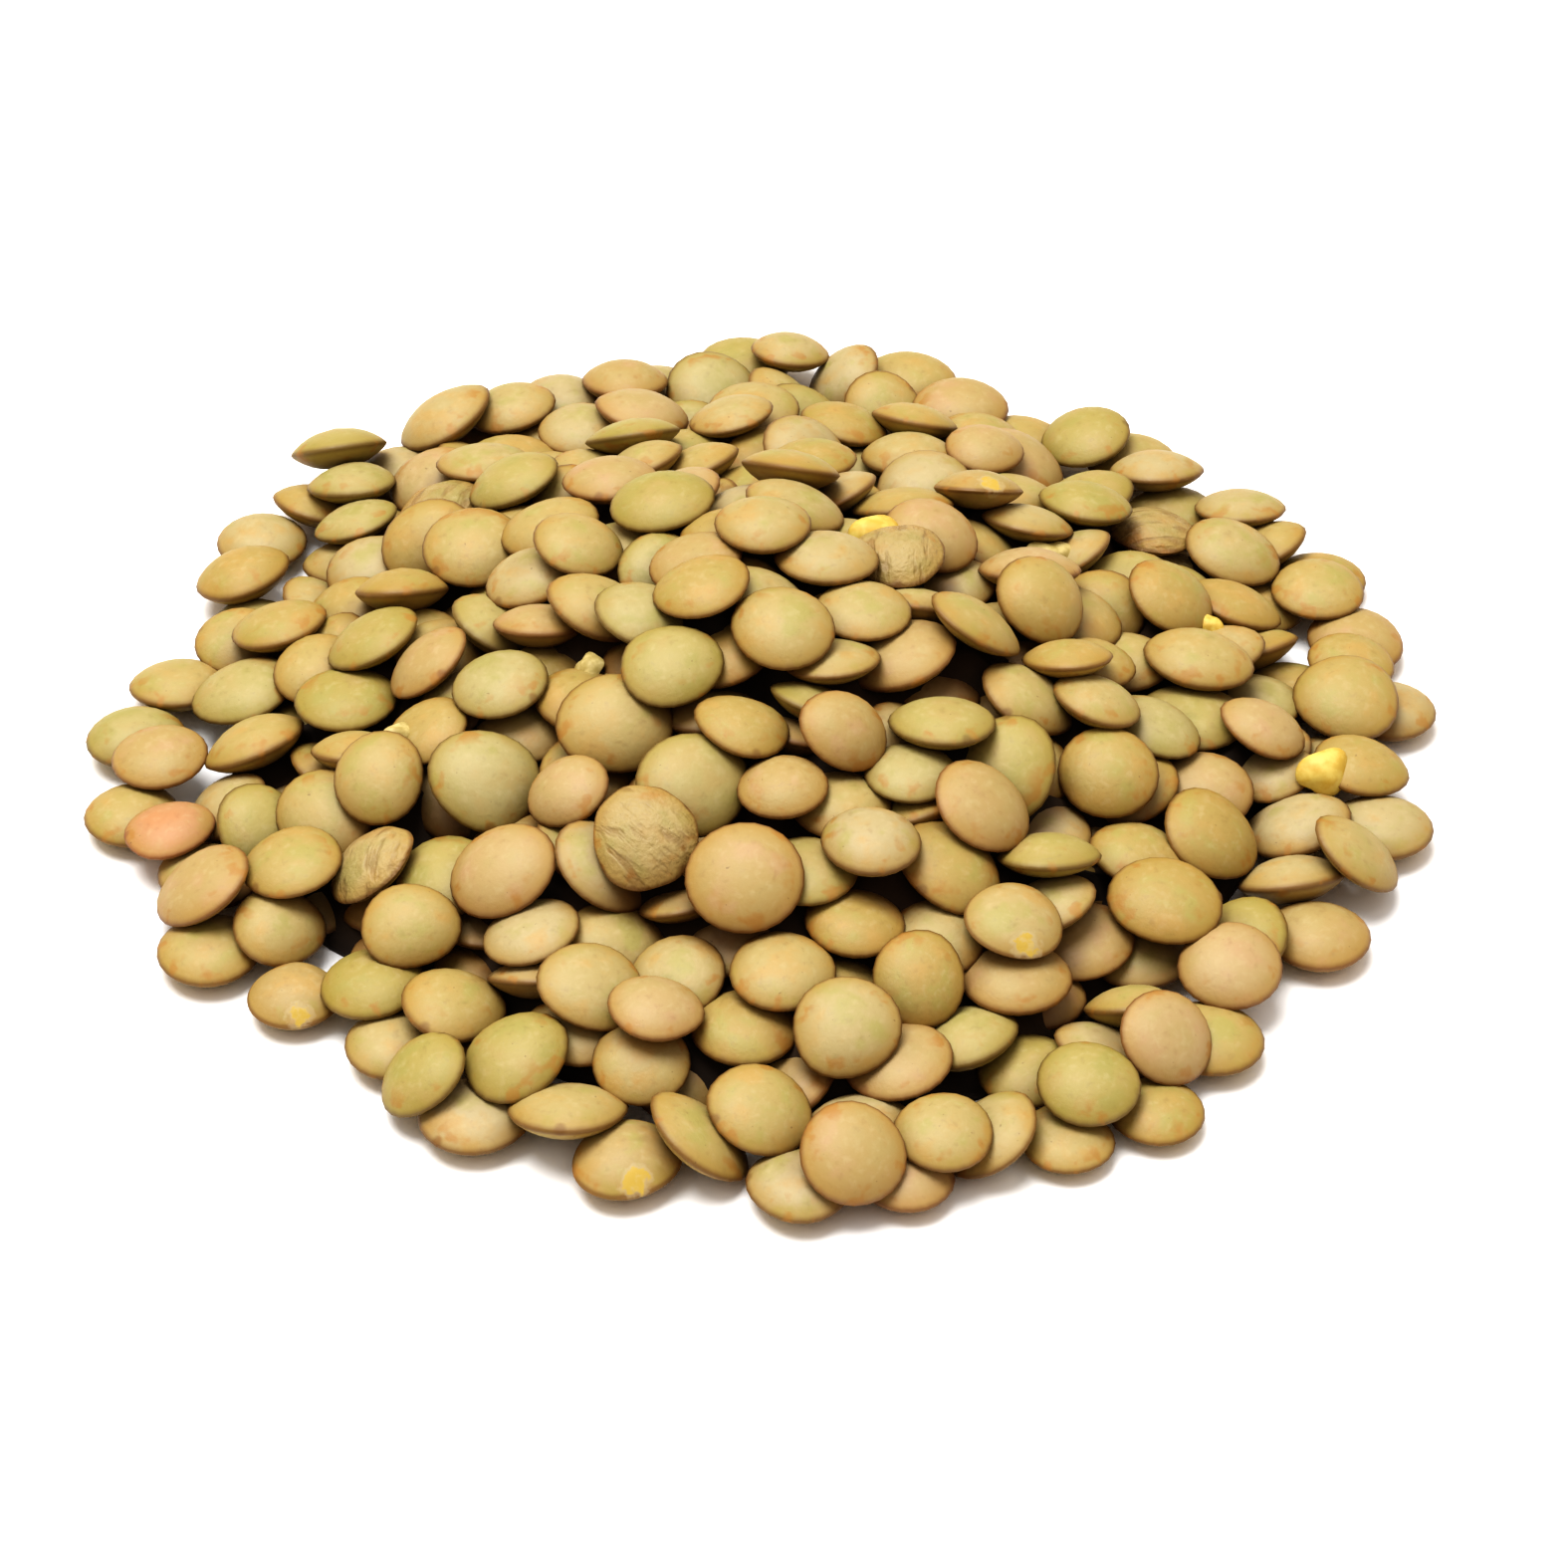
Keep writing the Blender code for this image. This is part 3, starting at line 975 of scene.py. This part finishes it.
COATS = {
    Kind.TAN: SeedCoat(
        "tan_coat",
        (
            (0.0, (0.372, 0.270, 0.084, 1)),
            (0.35, (0.394, 0.302, 0.110, 1)),
            (0.7, (0.402, 0.320, 0.142, 1)),
            (1.0, (0.412, 0.337, 0.180, 1)),
        ),
    ),
    Kind.GREEN: SeedCoat(
        "green_coat",
        (
            (0.0, (0.342, 0.272, 0.076, 1)),
            (0.5, (0.374, 0.307, 0.106, 1)),
            (1.0, (0.390, 0.329, 0.148, 1)),
        ),
        warm=(0.396, 0.293, 0.115, 1),
        cool=(0.322, 0.288, 0.086, 1),
        edge=(0.30, 0.215, 0.034, 1),
        rim=(0.135, 0.07, 0.014, 1),
    ),
    Kind.PINK: SeedCoat(
        "pink_coat",
        ((0.0, (0.392, 0.284, 0.110, 1)), (1.0, (0.424, 0.312, 0.150, 1))),
        warm=(0.435, 0.282, 0.148, 1),
        cool=(0.387, 0.302, 0.124, 1),
        edge=(0.365, 0.21, 0.040, 1),
        rim=(0.18, 0.07, 0.018, 1),
    ),
    Kind.ORANGE: SeedCoat(
        "orange_coat",
        ((0.0, (0.423, 0.242, 0.105, 1)), (1.0, (0.468, 0.256, 0.129, 1))),
        warm=(0.47, 0.235, 0.10, 1),
        cool=(0.396, 0.275, 0.096, 1),
        rim=(0.225, 0.073, 0.024, 1),
        speck_strength=0.8,
    ),
    Kind.WRINKLED: SeedCoat(
        "wrinkled_coat",
        ((0.0, (0.355, 0.262, 0.10, 1)), (1.0, (0.40, 0.31, 0.135, 1))),
        warm=(0.378, 0.229, 0.076, 1),
        cool=(0.297, 0.256, 0.086, 1),
        speck_strength=0.8,
        bump=0.20 * MM,
        creases=0.9,
    ),
    Kind.CHIPPED: SeedCoat(
        "chipped_coat",
        ((0.0, (0.378, 0.275, 0.11, 1)), (1.0, (0.41, 0.32, 0.143, 1))),
        chip=CHIP,
    ),
}


# The pieces

LEVEL = 1e-5  # closer than this counts as the same height or place
NOISE_REACH = 50.0  # how far from the origin a mesh's noise may be looked up


def piece_of(shape: bmesh.types.BMesh, name: str, material: bpy.types.Material) -> bpy.types.Object:
    """Makes a bmesh a smooth piece that rides on the heap's body and stands for its solid.

    Args:
        shape: the bmesh, which is freed.
        name: the piece's name.
        material: its finish.

    Returns:
        The piece.
    """
    mesh = bpy.data.meshes.new(name)
    shape.to_mesh(mesh)
    shape.free()
    mesh.shade_smooth()
    mesh.materials.append(material)
    piece = bpy.data.objects.new(name, mesh)
    bpy.context.scene.collection.objects.link(piece)
    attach(piece, BODY)
    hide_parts(NODE)
    return piece


def smoothed(piece: bpy.types.Object, levels: int = 1) -> None:
    """Adds a Subdivision Surface to a piece.

    Args:
        piece: the piece.
        levels: how often it is smoothed.
    """
    subdivision = piece.modifiers.new("smooth", "SUBSURF")
    subdivision.levels = levels
    subdivision.render_levels = levels


@dataclass(frozen=True)
class LensForm:
    """How a lentil's outside departs from a true lens, in shares of its size."""

    segments: int = 12
    rings: int = 6
    profile: float = 0.78  # below 1 the crowns are fuller
    spread: float = 1.3  # pushes the rings towards the rim
    growth: float = 1.035  # which the smoothing takes off again
    crown_growth: float = 1.05
    tilt: float = 0.05  # of the crowns against the rim
    oval: float = 0.04
    lobes: float = 0.02
    pointed: float = 0.28  # how many lentils come to a point
    point_rise: float = 0.11
    point_width: float = 0.42  # in radians
    uneven: float = 0.10  # how much one crown's height may differ from the other's
    wrinkle: float = 0.0
    wrinkle_size: float = 0.36
    fold_stretch: float = 2.2
    fold_sharpness: float = 3.2
    chip: float = 0.0
    crease: float = 0.4  # keeps the rim from being smoothed away


FORMS = {
    Kind.TAN: LensForm(),
    Kind.GREEN: LensForm(),
    Kind.PINK: LensForm(),
    Kind.ORANGE: LensForm(),
    Kind.WRINKLED: LensForm(
        segments=28, rings=14, growth=1.0, crown_growth=1.0, wrinkle=0.055, crease=0.2
    ),
    Kind.CHIPPED: LensForm(
        segments=24, rings=12, growth=1.0, crown_growth=1.0, chip=0.05, crease=0.3
    ),
}


@dataclass
class LentilPile:
    """All the lentils of one kind as one piece: lenses with a narrow rounded rim."""

    heap: Heap
    kind: Kind
    seed: int = 100

    def __post_init__(self) -> None:
        """Starts the mesh, what its coat reads at each vertex, and the draws."""
        self.form = FORMS[self.kind]
        self.draw = np.random.default_rng(self.seed + list(Kind).index(self.kind))
        self.shape = bmesh.new()
        numbers = self.shape.verts.layers.float
        self.own = self.shape.verts.layers.float_vector.new("own")
        self.tone = numbers.new("tone")
        # How much painted shade the coat gets at each vertex, by how far it lies under the heap's top
        self.depth = numbers.new("depth")
        self.out = numbers.new("out")
        self.sharpness = self.shape.edges.layers.float.new("crease_edge")

    def build(self) -> bpy.types.Object:
        """Makes the piece.

        Returns:
            The piece.
        """
        for lentil in self.heap.of_kind(self.kind):
            self.add_lens(lentil)
        piece = piece_of(self.shape, f"lentils_{self.kind.value}", COATS[self.kind].material())
        smoothed(piece)
        return piece

    def add_lens(self, lentil: Lentil) -> None:
        """Adds one lentil at its place.

        Args:
            lentil: the lentil.
        """
        form = self.form
        sphere = bmesh.ops.create_uvsphere(
            self.shape, u_segments=form.segments, v_segments=form.rings, radius=1.0
        )
        outline = self.outline()
        crowns = self.draw.uniform(1 - form.uneven, 1 + form.uneven, 2)
        tilt = self.draw.normal(0, form.tilt, 2)
        drift = Vector(self.draw.uniform(-NOISE_REACH, NOISE_REACH, 3))
        pose = lentil.pose() @ self.spin(lentil)
        slim = lentil.half / lentil.radius
        equator = self.sharpened(sphere["verts"])
        for vert in sphere["verts"]:
            angle = math.atan2(vert.co.y, vert.co.x)
            out = math.sin(math.acos(max(-1.0, min(1.0, vert.co.z))))
            out = 1 - (1 - out) ** form.spread
            rise = (1 - out**2) ** form.profile * math.copysign(1, vert.co.z)
            if vert in equator:
                rise = 0.0
            reach = out * (1 + (outline(angle) - 1) * out)
            level = rise * slim * crowns[0 if rise > 0 else 1] * form.crown_growth
            lift = tilt[0] * math.cos(angle) + tilt[1] * math.sin(angle)
            level += lift * out * (1 - out) * slim
            vert[self.own] = Vector((math.cos(angle) * out, math.sin(angle) * out, level))
            place = Vector((math.cos(angle) * reach, math.sin(angle) * reach, level))
            place = self.weathered(place, drift)
            vert[self.tone] = lentil.tone
            vert[self.out] = out
            place.xy *= form.growth
            vert.co = pose @ (place * lentil.radius)
            vert.co.z = max(vert.co.z, 0.0)
            vert[self.depth] = self.heap.painted_shade_at(vert.co)

    def sharpened(self, verts: list[bmesh.types.BMVert]) -> set[bmesh.types.BMVert]:
        """Gives the equator of a ball its sharpness.

        Args:
            verts: the ball's vertices.

        Returns:
            Those on the equator.
        """
        equator = {vert for vert in verts if abs(vert.co.z) < LEVEL}
        for edge in {edge for vert in equator for edge in vert.link_edges}:
            if equator.issuperset(edge.verts):
                edge[self.sharpness] = self.form.crease
        return equator

    def spin(self, lentil: Lentil) -> Matrix:
        """Finds how a lentil is turned on its own axis, which brings a chip to the front.

        Args:
            lentil: the lentil.

        Returns:
            The matrix of the turn.
        """
        if not self.form.chip:
            return Matrix()
        front = lentil.pose().to_3x3().inverted() @ Vector(CHIP.side)
        turn = math.atan2(front.y, front.x) - math.atan2(CHIP.middle[1], CHIP.middle[0])
        return Matrix.Rotation(turn, 4, "Z")

    def outline(self) -> Callable[[float], float]:
        """Draws how the reach of a lentil changes round it.

        Returns:
            What gives the reach in one direction.
        """
        form = self.form
        turns = self.draw.uniform(0, 2 * math.pi, 3)
        oval = self.draw.normal(0, form.oval)
        lobes = self.draw.normal(0, form.lobes)
        point = form.point_rise if self.draw.uniform(0, 1) < form.pointed else 0.0

        def reach(angle: float) -> float:
            """Finds the reach in one direction.

            Args:
                angle: the direction in radians.

            Returns:
                The reach, in lentil radii.
            """
            aside = abs((angle - turns[2] + math.pi) % (2 * math.pi) - math.pi)
            tip = point * math.exp(-((aside / form.point_width) ** 2))
            two = oval * math.cos(2 * (angle - turns[0]))
            three = lobes * math.cos(3 * (angle - turns[1]))
            return 1 + two + three + tip

        return reach

    def weathered(self, place: Vector, drift: Vector) -> Vector:
        """Wrinkles and chips a point of the outside, where the form has that.

        Args:
            place: the point, in lentil radii.
            drift: where this lentil's noise is taken.

        Returns:
            The moved point.
        """
        form = self.form
        if form.wrinkle:
            long_ways = Vector((place.x, place.y * form.fold_stretch, place.z))
            folds = noise.noise(long_ways / form.wrinkle_size + drift)
            groove = 1 - min(1.0, abs(folds) * form.fold_sharpness)
            place = place * (1 - form.wrinkle * groove)
        if form.chip and (place - Vector(CHIP.middle)).length < CHIP.reach:
            place = place * (1 - form.chip)
        return place


@dataclass(frozen=True)
class Bit:
    """A bit of a broken lentil, in mm."""

    x: float
    y: float
    reach: float
    lean: Lean
    near: float = 1.8  # how far round its place the lowest one is looked for


@dataclass(frozen=True)
class TornFinish:
    """The finish of a bared seed or a loose flake of coat: clouded, with a fine grain."""

    name: str
    light: Colour
    dark: Colour
    cloud_span: Span = (0.35, 0.65)
    roughness: float = 0.45
    roughness_spread: float = 0.2
    relief: float = 0.08 * MM

    def material(self) -> bpy.types.Material:
        """Makes the material.

        Returns:
            The material.
        """
        tree = Tree.of_material(self.name)
        own = tree.attribute("own", "Vector")
        clouds = tree.noise(own, tree.attribute("tone", "Fac") * NOISE_APART, Pattern.TORN)
        tree.shade(
            {
                "Base Color": tree.mix(clouds.between(*self.cloud_span), self.light, self.dark),
                "Roughness": self.roughness + clouds * self.roughness_spread,
                "Normal": tree.bump(clouds, self.relief),
            }
        )
        return tree.owner


@dataclass(frozen=True)
class BitSort:
    """A sort of bits: its finish, its form in reaches of a bit, and where its bits lie."""

    name: str
    finish: TornFinish
    dome: float
    base: float
    rough_edge: float
    bits: tuple[Bit, ...]
    narrow: float = 0.8
    tear_size: float = 1.4


BIT_SORTS = (
    BitSort(
        "split_seeds",
        TornFinish("bared_seed", light=(0.64, 0.50, 0.13, 1), dark=(0.55, 0.37, 0.06, 1)),
        dome=0.3,
        base=0.22,
        rough_edge=0.5,
        bits=(
            Bit(8.0, 5.0, 1.9, (0.2, -0.7)),
            Bit(23.0, 17.0, 1.8, (0.1, -0.6)),
            Bit(27.0, 5.0, 1.1, (-0.2, -0.6)),
            Bit(36.5, -6.5, 1.9, (0.4, -1.1), near=0.6),
        ),
    ),
    BitSort(
        "coat_flakes",
        TornFinish("loose_coat", light=(0.56, 0.46, 0.20, 1), dark=(0.40, 0.31, 0.10, 1)),
        dome=0.45,
        base=0.06,
        rough_edge=0.9,
        bits=(
            Bit(-21.0, -8.0, 1.2, (0.5, -0.7), near=0.6),
            Bit(-10.0, -5.0, 1.3, (-0.6, -0.5), near=0.6),
            Bit(19.0, 12.0, 1.8, (0.4, -0.8), near=0.6),
            Bit(-9.0, -5.5, 0.7, (0.7, 0.2), near=0.6),
        ),
    ),
)


@dataclass
class BrokenBits:
    """The bits of one sort, which lie on the lentils, as one piece."""

    heap: Heap
    sort: BitSort
    seed: int = 40
    segments: int = 14
    rings: int = 8
    step: float = 0.6 * MM
    percent: float = 50.0

    def build(self) -> bpy.types.Object:
        """Makes the piece.

        Returns:
            The piece.
        """
        draw = np.random.default_rng(self.seed)
        shape = bmesh.new()
        own = shape.verts.layers.float_vector.new("own")
        tone = shape.verts.layers.float.new("tone")
        for bit in self.sort.bits:
            sphere = bmesh.ops.create_uvsphere(
                shape, u_segments=self.segments, v_segments=self.rings, radius=1.0
            )
            drift = Vector(draw.uniform(-NOISE_REACH, NOISE_REACH, 3))
            number = draw.uniform(0, 1)
            pose = self.pose(bit)
            for vert in sphere["verts"]:
                place = self.shaped(vert.co.copy(), drift)
                vert[own] = place
                vert[tone] = number
                vert.co = pose @ (place * bit.reach * MM)
        piece = piece_of(shape, self.sort.name, self.sort.finish.material())
        smoothed(piece)
        return piece

    def pose(self, bit: Bit) -> Matrix:
        """Finds how a bit is laid on what is below it.

        Args:
            bit: the bit.

        Returns:
            The matrix that takes it from the origin to its place.
        """
        near = bit.near * MM
        steps = np.arange(-near, near + self.step, self.step)
        spots = [(bit.x * MM + across, bit.y * MM + along) for across in steps for along in steps]
        levels = [self.heap.relief.level(x, y, self.step, self.percent) for x, y in spots]
        level, (x, y) = min(zip(levels, spots))
        place = Vector((x, y, level)) + self.heap.shift
        normal = Vector((*bit.lean, 1.0)).normalized()
        return Matrix.Translation(place) @ normal.to_track_quat("Z", "Y").to_matrix().to_4x4()

    def shaped(self, point: Vector, drift: Vector) -> Vector:
        """Makes a point of a ball one of a torn bit: a low dome over a flatter base.

        Args:
            point: the point on the ball.
            drift: where this bit's noise is taken.

        Returns:
            The point, in reaches of the bit.
        """
        sort = self.sort
        tear = noise.noise(Vector((point.x, point.y, 0)) * sort.tear_size + drift)
        torn = 1 + sort.rough_edge * tear
        out = min(1.0, math.hypot(point.x, point.y))
        rise = sort.dome * (1 - out**2)
        thickness = sort.base * point.z
        return Vector((point.x * torn, point.y * torn * sort.narrow, rise + thickness))


@dataclass(frozen=True)
class DeepShade:
    """The finish of the core: painted shade, as dim rounded patches with dark joins like lentils in the
    shade.
    """

    name: str = "shaded_lentils"
    light: Colour = (0.038, 0.020, 0.008, 1.0)
    dark: Colour = (0.016, 0.008, 0.003, 1.0)
    patch_size: float = 6.0 * MM
    join_span: Span = (0.30, 0.65)
    relief: float = 0.8 * MM
    roughness: float = 0.9

    def material(self) -> bpy.types.Material:
        """Makes the material.

        Returns:
            The material.
        """
        tree = Tree.of_material(self.name)
        place = Signal(tree, tree.node("ShaderNodeTexCoord").outputs["Object"])
        sockets = {"Vector": place, "Scale": 1 / self.patch_size}
        away = Signal(tree, tree.node("ShaderNodeTexVoronoi", None, sockets).outputs["Distance"])
        tree.shade(
            {
                "Base Color": tree.mix(away.between(*self.join_span), self.light, self.dark),
                "Roughness": self.roughness,
                "Normal": tree.bump(1 - away, self.relief),
            }
        )
        return tree.owner


@dataclass
class HeapCore:
    """What is under the lentils that show: a low dome with a flat base, painted dark as the shade
    between them.
    """

    heap: Heap
    sides: int = 48
    rings: int = 14
    near: float = 1.6 * MM  # how far round a point the lentils' height is looked at
    percent: float = 12.0  # of that height, which is lower than the answer
    sunk: float = 1.6 * MM  # below the answer
    inset: float = 5.5 * MM  # from the reach of the lentils' middles
    edge: float = 0.5 * MM

    def build(self) -> bpy.types.Object:
        """Makes the piece: a profile is spun to a disc with a flat base, and its top is raised.

        Returns:
            The piece.
        """
        shape = bmesh.new()
        profile = [shape.verts.new((ring / self.rings, 0, 1)) for ring in range(self.rings + 1)]
        profile += [shape.verts.new((1, 0, 0)), shape.verts.new((0, 0, 0))]
        edges = [shape.edges.new(pair) for pair in zip(profile, profile[1:])]
        bmesh.ops.spin(
            shape,
            geom=profile + edges,
            cent=(0, 0, 0),
            axis=(0, 0, 1),
            angle=2 * math.pi,
            steps=self.sides,
            use_merge=True,
        )
        bmesh.ops.remove_doubles(shape, verts=shape.verts, dist=LEVEL)
        for vert in shape.verts:
            flat = vert.co.z < LEVEL
            vert.co = self.point(math.atan2(vert.co.y, vert.co.x), math.hypot(*vert.co.xy))
            if flat:
                vert.co.z = 0.0
        bmesh.ops.recalc_face_normals(shape, faces=shape.faces)
        return piece_of(shape, "heap_core", DeepShade().material())

    def point(self, turn: float, share: float) -> Vector:
        """Finds a point of the dome.

        Args:
            turn: its direction, in radians from +X.
            share: how far out it is, as a share of the reach there.

        Returns:
            The point.
        """
        out = (float(self.heap.form.outer_reach(turn)) - self.inset) * share
        x, y = out * math.cos(turn), out * math.sin(turn)
        level = self.heap.relief.level(x, y, self.near, self.percent) - self.sunk
        return Vector((x, y, max(level, self.edge))) + self.heap.shift


# The studio


@dataclass(frozen=True)
class TableFinish:
    """The matt white of the table."""

    name: str = "white_table"
    colour: Colour = (0.98, 0.98, 0.98, 1.0)
    roughness: float = 0.9
    specular: float = 0.1

    def material(self) -> bpy.types.Material:
        """Makes the material.

        Returns:
            The material.
        """
        tree = Tree.of_material(self.name)
        tree.shade(
            {
                "Base Color": self.colour,
                "Roughness": self.roughness,
                "Specular IOR Level": self.specular,
            }
        )
        return tree.owner


@dataclass(frozen=True)
class Studio:
    """A white table in a white room, with one large soft light above."""

    table_size: float = 3.0
    table_finish: TableFinish = TableFinish()
    room_strength: float = 0.84
    room_tones: Stops = (  # by how far up one looks: 0 is level, and 1 is straight up
        (0.20, (0.26, 0.12, 0.02, 1.0)),
        (0.90, (1.0, 1.0, 1.0, 1.0)),
    )
    light_place: Vector = field(default_factory=lambda: Vector((-0.18, 0.08, 0.94)))
    light_size: float = 0.7
    light_power: float = 8.5
    camera_target: Vector = field(default_factory=lambda: Vector((1.2, -3.8, 0.0)) * MM)
    camera_elevation: float = 39.0
    camera_distance: float = 310.0 * MM
    camera_lens: float = 112.0
    camera_nearest: float = 10.0 * MM
    view_transform: str = "Standard"
    view_look: str = "High Contrast"

    def build(self) -> None:
        """Sets the table, the room, the light and the camera."""
        self.lay_table()
        self.light_room()
        self.hang_light()
        self.set_camera()
        bpy.context.scene.view_settings.view_transform = self.view_transform
        bpy.context.scene.view_settings.look = self.view_look
        logging.info("studio set")

    def lay_table(self) -> None:
        """Makes the white table under the heap."""
        shape = bmesh.new()
        bmesh.ops.create_grid(shape, x_segments=1, y_segments=1, size=self.table_size / 2)
        mesh = bpy.data.meshes.new("table")
        shape.to_mesh(mesh)
        shape.free()
        mesh.materials.append(self.table_finish.material())
        table = bpy.data.objects.new("table", mesh)
        bpy.context.scene.collection.objects.link(table)

    def light_room(self) -> None:
        """Makes the room white above, and darker and warmer towards the floor."""
        tree = Tree(bpy.data.worlds.new("white_room"), "Background")
        place = Signal(tree, tree.node("ShaderNodeTexCoord").outputs["Generated"])
        parts = tree.node("ShaderNodeSeparateXYZ", None, {0: place})
        tones = tree.ramp(Signal(tree, parts.outputs["Z"]), self.room_tones)
        tree.shade({"Strength": self.room_strength, "Color": tones})
        bpy.context.scene.world = tree.owner

    def hang_light(self) -> None:
        """Hangs the large light, which faces the heap."""
        lamp = bpy.data.lights.new("soft_light", "AREA")
        lamp.shape = "DISK"
        lamp.size = self.light_size
        lamp.energy = self.light_power
        hung = bpy.data.objects.new("soft_light", lamp)
        hung.location = self.light_place
        hung.rotation_euler = self.light_place.to_track_quat("Z", "Y").to_euler()
        bpy.context.scene.collection.objects.link(hung)

    def set_camera(self) -> None:
        """Sets the camera where the photograph was taken from."""
        lens = bpy.data.cameras.new("camera")
        lens.lens = self.camera_lens
        lens.clip_start = self.camera_nearest
        camera = bpy.data.objects.new("camera", lens)
        elevation = math.radians(self.camera_elevation)
        away = Vector((0.0, -math.cos(elevation), math.sin(elevation)))
        camera.location = self.camera_target + away * self.camera_distance
        camera.rotation_euler = away.to_track_quat("Z", "Y").to_euler()
        bpy.context.scene.collection.objects.link(camera)
        bpy.context.scene.camera = camera


def main() -> None:
    """Builds the heap's pieces and the studio, in order."""
    logging.basicConfig(level=logging.INFO, format="%(message)s")
    heap = Heap()
    logging.info("laid %d lentils", len(heap.lentils))
    piles = [LentilPile(heap, kind) for kind in Kind]
    loose = [BrokenBits(heap, sort) for sort in BIT_SORTS]
    for part in (HeapCore(heap), *piles, *loose):
        piece = part.build()
        logging.info("%s: %d faces before smoothing", piece.name, len(piece.data.polygons))
    Studio().build()


if __name__ == "__main__":
    main()
